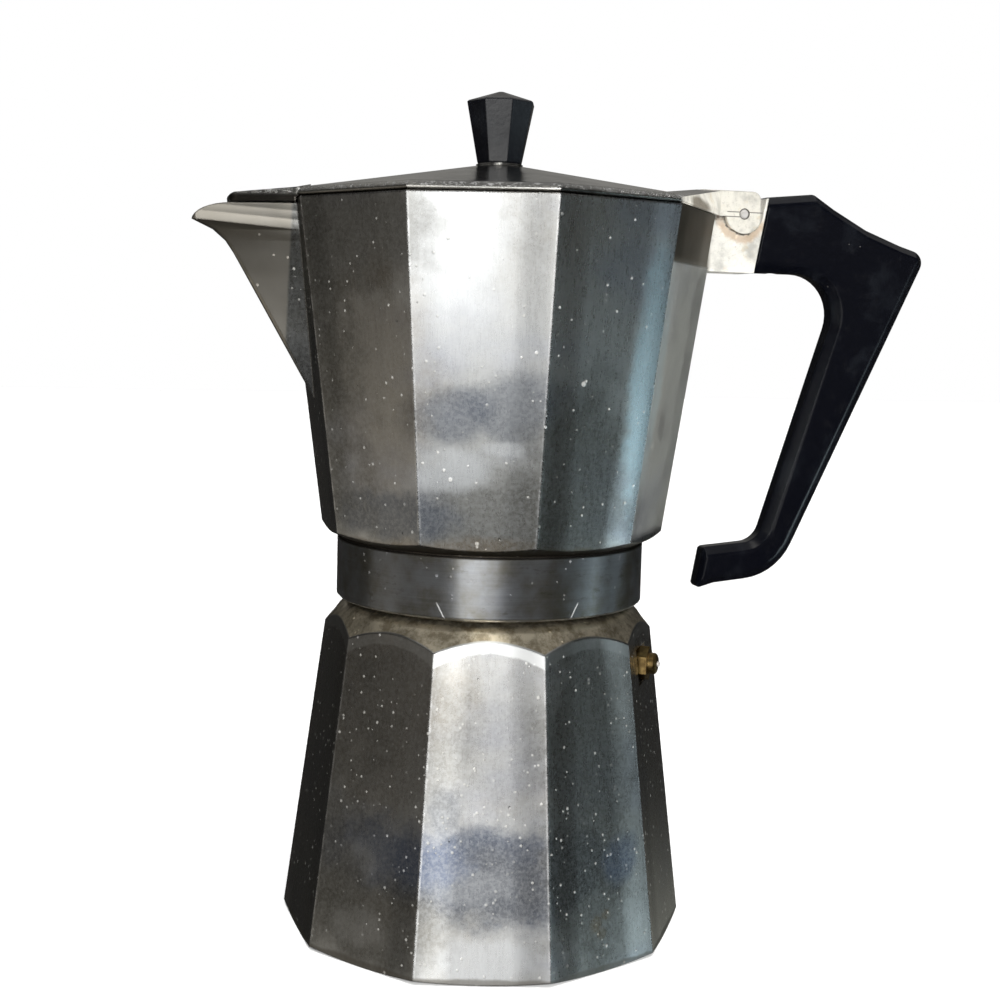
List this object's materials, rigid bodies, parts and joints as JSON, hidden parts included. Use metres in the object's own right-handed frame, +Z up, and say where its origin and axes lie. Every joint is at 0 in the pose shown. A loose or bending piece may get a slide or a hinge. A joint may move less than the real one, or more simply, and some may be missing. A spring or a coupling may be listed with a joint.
{
  "type": "stove-top moka pot",
  "caption": "Stove-top moka pot: faceted boiler with a screw-on collector, coffee funnel, filter, hinged lid with knob, spout and side handle.",
  "frame": {"origin": "centre of the boiler's flat base, on the surface the pot stands on", "axes": "+Z up along the pot's axis, +X towards the handle, -X towards the spout, +Y to the left of the handle seen from the spout"},
  "size_m": [0.2372, 0.1342, 0.2572],
  "materials": {
    "boiler_alloy": "worn cast aluminium, stained and pitted by heat",
    "collector_alloy": "satin aluminium brushed along its height, lightly worn",
    "lid_alloy": "darkened glossy aluminium",
    "plain_alloy": "plain matt pressed aluminium",
    "brass": "dull tarnished brass",
    "copper": "dull copper",
    "steel": "plain steel",
    "gasket_rubber": "matt off-white rubber",
    "bakelite": "glossy black moulded plastic with faint dust"
  },
  "bodies": {
    "boiler": {"boiler": "boiler_alloy", "valve_body": "brass", "valve_washer": "copper", "valve_seat": "brass", "valve_spring": "steel"},
    "valve_stem": {"valve_stem": "steel"},
    "funnel": {"funnel": "plain_alloy", "funnel_filter": "plain_alloy"},
    "gasket": {"gasket": "gasket_rubber", "filter_plate": "plain_alloy"},
    "collector": {"collector": "collector_alloy", "column_cap": "plain_alloy", "hinge_pin": "steel", "handle": "bakelite", "handle_screw": "steel", "handle_washer": "steel"},
    "lid": {"lid": "lid_alloy", "knob": "bakelite", "knob_insert": "brass", "knob_screw": "steel", "knob_washer": "steel"}
  },
  "joints": [
    {"name": "valve_lift", "type": "slide", "parent": "boiler", "child": "valve_stem", "axis": [0.8536, -0.5209, 0], "range_m": [0, 0.0015], "stiffness_N_per_m": 1200, "springref_m": -0.002, "deforming": ["valve_spring"]},
    {"name": "gasket_rise", "type": "slide", "parent": "boiler", "child": "gasket", "axis": [0, 0, 1], "range_m": [0, 0.0181]},
    {"name": "collector_turn", "type": "hinge", "parent": "gasket", "child": "collector", "pos_m": [0, 0, 0.1], "axis": [0, 0, 1], "range_deg": [0, 2160]},
    {"name": "funnel_rise", "type": "slide", "parent": "boiler", "child": "funnel", "axis": [0, 0, 1], "range_m": [0, 0.0091]},
    {"name": "lid_hinge", "type": "hinge", "parent": "collector", "child": "lid", "pos_m": [0.0783, 0, 0.2231], "axis": [0, 1, 0], "range_deg": [0, 100]}
  ],
  "couplings": [
    {"joint": "gasket_rise", "follows": "collector_turn", "m_per_rad": 0.00047746},
    {"joint": "funnel_rise", "follows": "collector_turn", "m_per_rad": 0.00023873}
  ]
}
